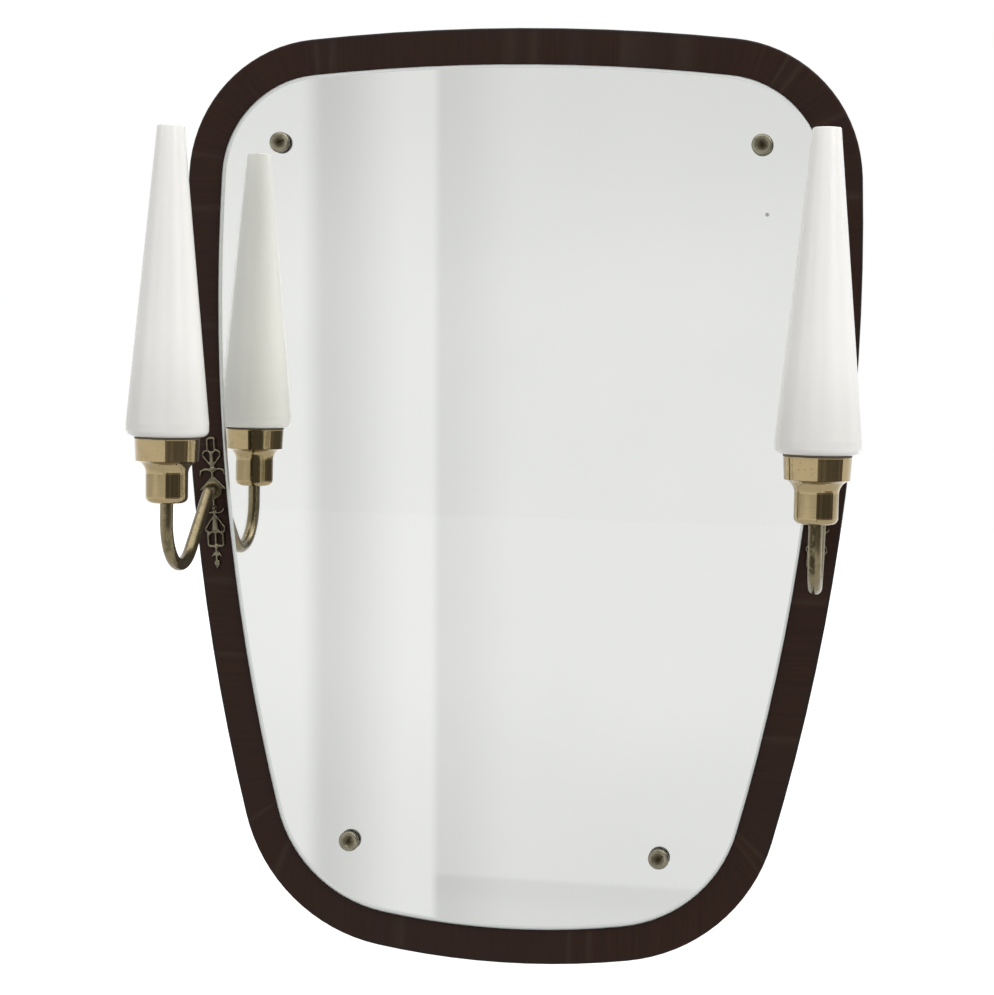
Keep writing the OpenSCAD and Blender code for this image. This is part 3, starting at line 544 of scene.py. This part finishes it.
def brass(name, bright, dull, deep, tarnish, roughness, pits=0.0, lines=0.0, wear=no_change, thread=0.0):
    """Aged brass: tarnish is the share of dull metal, pits, lines and thread the depth of each relief."""
    material, tree, surface = new_finish(name)
    spot, x, y, z = place_on(tree)
    surface.inputs["Metallic"].default_value = 1.0
    broad = cloud(tree, spot, 130, 4, 0.6)
    fine = cloud(tree, spot, 900, 3, 0.6)
    share = steps(tree, calc(tree, "ADD", calc(tree, "MULTIPLY", broad, 0.7), calc(tree, "MULTIPLY", fine, 0.3)),
                  (max(0.0, 0.62 - tarnish * 0.4), 0.0), (min(1.0, 0.8 - tarnish * 0.4), 1.0))
    colour = blend(tree, share, bright, dull)
    specks = put(tree, "TexVoronoi", {"Vector": spot, "Scale": pits_per_metre}, feature="F1").outputs["Distance"]
    pit = calc(tree, "MULTIPLY", steps(tree, specks, (0.1, 1.0), (0.24, 0.0)),
               steps(tree, cloud(tree, spot, 210, 2, 0.5), (0.52, 0.0), (0.6, 1.0)))
    colour = wear(tree, blend(tree, calc(tree, "MULTIPLY", pit, min(1.0, 0.4 + pits)), colour, deep))
    tree.links.new(colour, surface.inputs["Base Color"])
    rub = cloud(tree, stretch(tree, spot, 60, 60, 1500), 1, 2, 0.5)
    tree.links.new(calc(tree, "ADD", roughness, calc(tree, "ADD", calc(tree, "MULTIPLY", share, 0.06),
                                                     calc(tree, "MULTIPLY", rub, 0.04))), surface.inputs["Roughness"])
    relief = calc(tree, "ADD", calc(tree, "MULTIPLY", rub, lines),
                  calc(tree, "SUBTRACT", calc(tree, "MULTIPLY", fine, 0.15), calc(tree, "MULTIPLY", pit, pits * 2)))
    if thread:
        from_axis = calc(tree, "SUBTRACT", x, calc(tree, "MULTIPLY", calc(tree, "SIGN", x), sconce_x))
        around = calc(tree, "ARCTAN2", calc(tree, "SUBTRACT", y, cup_y), from_axis)
        helix = calc(tree, "SINE", calc(tree, "SUBTRACT", calc(tree, "MULTIPLY", z, math.tau / thread_pitch), around))
        relief = calc(tree, "ADD", relief, calc(tree, "MULTIPLY", helix, thread))
    bump(tree, surface, relief, 0.4, relief_depth)
    return material


# Glass fixings
# Four turned brass rosettes hold the sheet; a slotted countersunk screw goes through each into the
# board, in a rubber sleeve that keeps metal off the glass. Their centres are coloured dark: oxide on
# the screw, and painted shade in the recess round it.
umber = (0.055, 0.04, 0.022)
top_fix = (172.4 * mm, 253.5 * mm)
bottom_fix = (112.9 * mm, -251 * mm)
centre_oxide_and_shade = (1.2 * mm, 6.2 * mm)
groove_dark = (7.3 * mm, 8.1 * mm)


def oxide_and_shaded_centre(tree, colour):
    """Darkens a rosette and its screw towards their middle, as oxide and painted shade, and in the turned groove near
    the rim.
    """
    spot, x, y, z = place_on(tree)
    from_middle = calc(tree, "ABSOLUTE", x)
    near = calc(tree, "MINIMUM", *(reach(tree, calc(tree, "SUBTRACT", from_middle, fix_x),
                                         calc(tree, "SUBTRACT", z, fix_z)) for fix_x, fix_z in (top_fix, bottom_fix)))
    near = calc(tree, "ADD", near, calc(tree, "MULTIPLY", cloud(tree, spot, 420, 3, 0.6), 1.2 * mm))
    colour = blend(tree, ramp(tree, near, *centre_oxide_and_shade, 0.96, 0.0), colour, (0.028, 0.023, 0.011))
    return blend(tree, ramp(tree, near, *groove_dark, 0.0, 0.7), colour, (0.05, 0.046, 0.034))


rosette_brass = brass("rosette_brass", (0.25, 0.232, 0.17), (0.15, 0.138, 0.1), umber, 0.45, 0.34, pits=0.3, lines=0.15,
                      wear=oxide_and_shaded_centre)
dress(rosette_brass, "glass_rosettes")
dress(brass("screw_brass", (0.2, 0.18, 0.125), (0.12, 0.108, 0.072), umber, 0.5, 0.34, pits=0.3, wear=oxide_and_shaded_centre),
      "glass_screws")


def rubber(name, colour):
    """Dark moulded rubber, slightly mottled."""
    material, tree, surface = new_finish(name)
    tone = cloud(tree, place_on(tree)[0], 300, 4, 0.6)
    tree.links.new(blend(tree, tone, colour, tuple(part * 1.9 for part in colour)), surface.inputs["Base Color"])
    tree.links.new(calc(tree, "ADD", 0.55, calc(tree, "MULTIPLY", tone, 0.3)), surface.inputs["Roughness"])
    bump(tree, surface, tone, 0.3, 0.0001)
    return material


dress(rubber("black_rubber", (0.018, 0.017, 0.016)), "glass_sleeves")
dress(rubber("seat_rubber", (0.07, 0.058, 0.045)), "left_seat_ring", "right_seat_ring")


# Backplates
# A pierced brass plate on each side, sawn and chased as a ribbon bow over husks and a leaf drop.
# Its strands are rounded off by the file, from the outline of the plain plate. Two pins hold it.
sconce_z = 2 * mm
skin_grain = 0.3 * mm
strand_half = 1.0 * mm
filed_away = 0.5
pin_heights = (15 * mm, -41.4 * mm)
plate_lean = math.radians(4)
pin_clear = 1.5 * mm


def rounded_plate(side, sign):
    """The plate of one side with its strands rounded. It keeps how far inside each point lies."""
    name = side + "_backplate"
    blank = bmesh.new()
    blank.from_mesh(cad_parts[name].data)
    bmesh.ops.remove_doubles(blank, verts=blank.verts[:], dist=1e-6)
    blank.verts.index_update()
    pins = [(sign * (sconce_x + height * math.sin(plate_lean)), sconce_z + height * math.cos(plate_lean))
            for height in pin_heights]

    def on_outline(face):
        centre = face.calc_center_median()
        return abs(face.normal.y) < 0.3 and all(math.dist((centre.x, centre.z), pin) > pin_clear for pin in pins)

    walls = BVHTree.FromPolygons([vertex.co.copy() for vertex in blank.verts],
                                 [[vertex.index for vertex in face.verts] for face in blank.faces if on_outline(face)])
    rough = bpy.data.meshes.new(name + "_blank")
    blank.to_mesh(rough)
    blank.free()
    piece = bpy.data.objects.new(name + "_chased", rough)
    bpy.context.scene.collection.objects.link(piece)
    skin = piece.modifiers.new("skin", "REMESH")
    skin.mode = "VOXEL"
    skin.voxel_size = skin_grain
    shaped = bpy.data.meshes.new_from_object(piece.evaluated_get(bpy.context.evaluated_depsgraph_get()))
    piece.modifiers.clear()
    piece.data = shaped
    inside = shaped.attributes.new("inside", "FLOAT", "POINT")
    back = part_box(name)[1].y
    for vertex in shaped.vertices:
        rise = min(1.0, walls.find_nearest(vertex.co)[3] / strand_half)
        keep = 1 - filed_away * (1 - math.sqrt(1 - (1 - rise) ** 2))
        vertex.co.y = back + (vertex.co.y - back) * keep
        inside.data[vertex.index].value = rise
    shaped.shade_smooth()
    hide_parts(name)
    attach(piece, "wall_part")
    return piece


def tarnish_and_flank_shade(tree, colour):
    """Leaves tarnish in the hollows beside the strands, and darkens the strands' flanks as painted shade so that their
    crowns look lit.
    """
    inside = put(tree, "Attribute", attribute_name="inside").outputs["Fac"]
    return blend(tree, ramp(tree, inside, 0.0, 0.45, 0.6, 0.0), colour, (0.045, 0.036, 0.022))


plate_brass = brass("plate_brass", (0.165, 0.147, 0.102), (0.1, 0.088, 0.06), umber, 0.5, 0.2, pits=0.4, lines=0.4,
                    wear=tarnish_and_flank_shade)
for side, sign in (("left", -1), ("right", 1)):
    rounded_plate(side, sign).data.materials.append(plate_brass)
dress(brass("pin_brass", (0.2, 0.17, 0.11), (0.12, 0.1, 0.06), umber, 0.4, 0.25), "left_plate_pins", "right_plate_pins")


# Arms
# A brass tube bent down from the wall and up to the cup, with a soldered collar at the wall and a
# thread at each end. The nuts and the washer behind the board clamp it. The front of its upright
# limb is coloured darker in a blotchy strip, more on the right arm.
olive = (0.235, 0.19, 0.095)
front_strip_from = (-2.9 * mm, -2.1 * mm)
front_strip_to = (0.5 * mm, 1.5 * mm)
front_strip_side = (cup_y + 0.004, cup_y + 0.001)
left_strip_share = 0.4


def dark_front_strip(tree, colour):
    """Leaves a blotchy dark strip down the front of the limb that carries the cup, mostly on the right arm."""
    spot, x, y, z = place_on(tree)
    beside = calc(tree, "SUBTRACT", calc(tree, "ABSOLUTE", x), sconce_x)
    beside = calc(tree, "ADD", beside, calc(tree, "MULTIPLY", cloud(tree, spot, 330, 3, 0.6), 0.0012))
    strip = calc(tree, "MULTIPLY", ramp(tree, beside, *front_strip_from), ramp(tree, beside, *front_strip_to, 1.0, 0.0))
    strip = calc(tree, "MULTIPLY", strip, ramp(tree, y, *front_strip_side))
    strip = calc(tree, "MULTIPLY", strip, calc(tree, "MAXIMUM", calc(tree, "SIGN", x), left_strip_share))
    blots = steps(tree, cloud(tree, spot, 260, 4, 0.65), (0.36, 0.35), (0.5, 1.0))
    return blend(tree, calc(tree, "MULTIPLY", strip, blots), colour, (0.045, 0.036, 0.02))


arm_brass = brass("arm_brass", (0.2, 0.165, 0.096), (0.128, 0.105, 0.062), umber, 0.3, 0.26, pits=0.9, lines=0.6,
                  wear=dark_front_strip)
dress(arm_brass, "left_arm", "right_arm")
nut_brass = brass("nut_brass", (0.40, 0.31, 0.15), olive, umber, 0.4, 0.33)
dress(nut_brass, "left_arm_nut", "right_arm_nut", "left_cup_nut", "right_cup_nut")


# Cups
# A thin cup spun from sheet brass in two steps: a small lower cup, a cove and a ring with a rolled
# rim. It drops over the arm's thread and a nut inside clamps it.
golden = (0.325, 0.253, 0.138)
straw = (0.285, 0.224, 0.122)
cup_brass = brass("cup_brass", golden, straw, umber, 0.3, 0.05, pits=0.35, lines=0.12)
dress(cup_brass, "left_cup", "right_cup")


# Lampholders and bulbs
# A small screw lampholder of brown moulded resin stands on the arm's end, with a pressed brass shell
# and a sprung contact. The bulb has a nickel-plated cap and a pearl glass.
resin, tree, surface = new_finish("brown_resin")
swirl = cloud(tree, place_on(tree)[0], 90, 5, 0.65)
tree.links.new(steps(tree, swirl, (0.35, (0.018, 0.009, 0.006)), (0.65, (0.04, 0.02, 0.012))),
               surface.inputs["Base Color"])
tree.links.new(calc(tree, "ADD", 0.22, calc(tree, "MULTIPLY", swirl, 0.15)), surface.inputs["Roughness"])
bump(tree, surface, swirl, 0.1, 0.0001)
dress(resin, "left_lampholder", "right_lampholder")
shell_brass = brass("shell_brass", (0.55, 0.42, 0.2), olive, umber, 0.25, 0.2, thread=2.5)
dress(shell_brass, "left_holder_shell", "right_holder_shell", "left_holder_contact", "right_holder_contact")

nickel = brass("nickel_plate", (0.62, 0.6, 0.56), (0.45, 0.43, 0.39), (0.2, 0.19, 0.17), 0.35, 0.18, thread=2.5)
dress(nickel, "left_bulb_cap", "right_bulb_cap")

pearl, tree, surface = new_finish("pearl_glass")
mist = cloud(tree, place_on(tree)[0], 260, 3, 0.5)
tree.links.new(blend(tree, mist, (0.82, 0.83, 0.82), (0.88, 0.885, 0.875)), surface.inputs["Base Color"])
tree.links.new(calc(tree, "ADD", 0.38, calc(tree, "MULTIPLY", mist, 0.1)), surface.inputs["Roughness"])
surface.inputs["Transmission Weight"].default_value = 0.35
surface.inputs["IOR"].default_value = 1.45
bump(tree, surface, mist, 0.1, 0.00005)
dress(pearl, "left_bulb_glass", "right_bulb_glass")


# Shades
# A tall tapered shade of blown opal glass, white all through, with a fire-polished skin.
# It stands in the cup by its own weight and is lifted off to change the bulb. Towards its foot its
# colour is painted a little greyer: painted shade.
shade_foot = 50 * mm
shade_clear = 120 * mm
foot_painted_shade = 0.32
opal, tree, surface = new_finish("opal_glass")
spot, x, y, z = place_on(tree)
flow = cloud(tree, stretch(tree, spot, 1, 1, 0.25), 30, 3, 0.5)
white = blend(tree, flow, (0.815, 0.803, 0.775), (0.85, 0.838, 0.81))
# The foot is painted greyer: painted shade.
tree.links.new(blend(tree, ramp(tree, z, shade_foot, shade_clear, foot_painted_shade, 0.0), white, (0.5, 0.49, 0.465)),
               surface.inputs["Base Color"])
ripple = cloud(tree, stretch(tree, spot, 1, 1, 0.5), 110, 2, 0.4)
tree.links.new(calc(tree, "ADD", 0.12, calc(tree, "MULTIPLY", ripple, 0.1)), surface.inputs["Roughness"])
surface.inputs["IOR"].default_value = 1.5
surface.inputs["Subsurface Weight"].default_value = 0.35
surface.inputs["Subsurface Radius"].default_value = (0.004, 0.004, 0.0035)
surface.inputs["Subsurface Scale"].default_value = 1.0
bump(tree, surface, ripple, 0.12, 0.0003)
dress(opal, "left_shade", "right_shade")


# Back fittings
# Two keyhole plates of zinc-plated steel, let into the back and screwed, and the terminal block of
# cream porcelain-like plastic where the leads of both arms meet.
zinc = brass("zinc_plate", (0.5, 0.5, 0.47), (0.36, 0.35, 0.3), (0.14, 0.12, 0.09), 0.4, 0.36, pits=0.2)
dress(zinc, "left_hanger", "right_hanger", "left_arm_washer", "right_arm_washer")
dress(brass("steel_screws", (0.3, 0.3, 0.29), (0.2, 0.195, 0.18), (0.08, 0.06, 0.045), 0.4, 0.3, pits=0.2),
      "hanger_screws", "block_screw", "terminal_screws")
cream, tree, surface = new_finish("cream_plastic")
mottle = cloud(tree, place_on(tree)[0], 240, 4, 0.6)
tree.links.new(blend(tree, mottle, paint(226, 216, 192), paint(206, 194, 166)), surface.inputs["Base Color"])
tree.links.new(calc(tree, "ADD", 0.35, calc(tree, "MULTIPLY", mottle, 0.2)), surface.inputs["Roughness"])
bump(tree, surface, mottle, 0.15, 0.0001)
dress(cream, "terminal_block")
